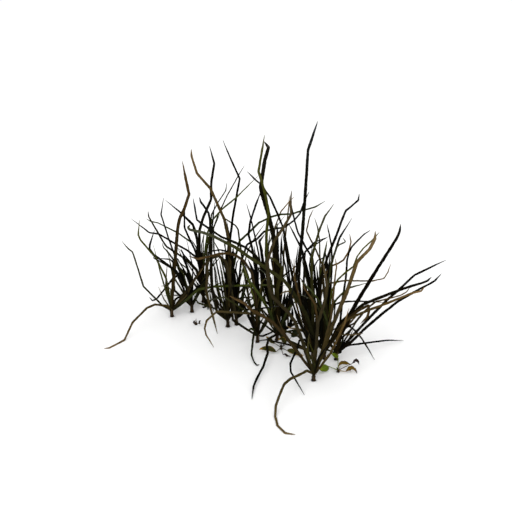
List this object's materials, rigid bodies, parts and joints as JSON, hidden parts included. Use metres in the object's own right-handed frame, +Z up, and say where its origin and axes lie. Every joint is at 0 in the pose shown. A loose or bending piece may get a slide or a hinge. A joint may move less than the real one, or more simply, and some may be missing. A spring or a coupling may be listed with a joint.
{
  "type": "bunch of dried grass",
  "caption": "Clump of long, thin, kinked dried grass blades in small tufts that stand in a row on their cut crowns, with small leaves at the foot.",
  "frame": {"origin": "middle of the centre tuft's flat underside, on the surface that the crowns stand on", "axes": "+Z up, +X along the long way of the clump to the picture's right, +Y away from its camera"},
  "size_m": [0.4878, 0.417, 0.3296],
  "materials": {
    "straw": "dry matte",
    "olive": "dry matte",
    "dark": "dry matte",
    "green": "dull"
  },
  "bodies": {
    "root": {"left": "straw", "left_back": "dark", "back": "dark", "middle_left": "olive", "middle": "dark", "middle_front": "olive", "centre": "dark", "right": "olive", "right_centre": "dark", "right_end": "dark", "front": "straw", "weed_left": "green", "weed_centre": "green", "weed_right": "green"}
  },
  "joints": []
}
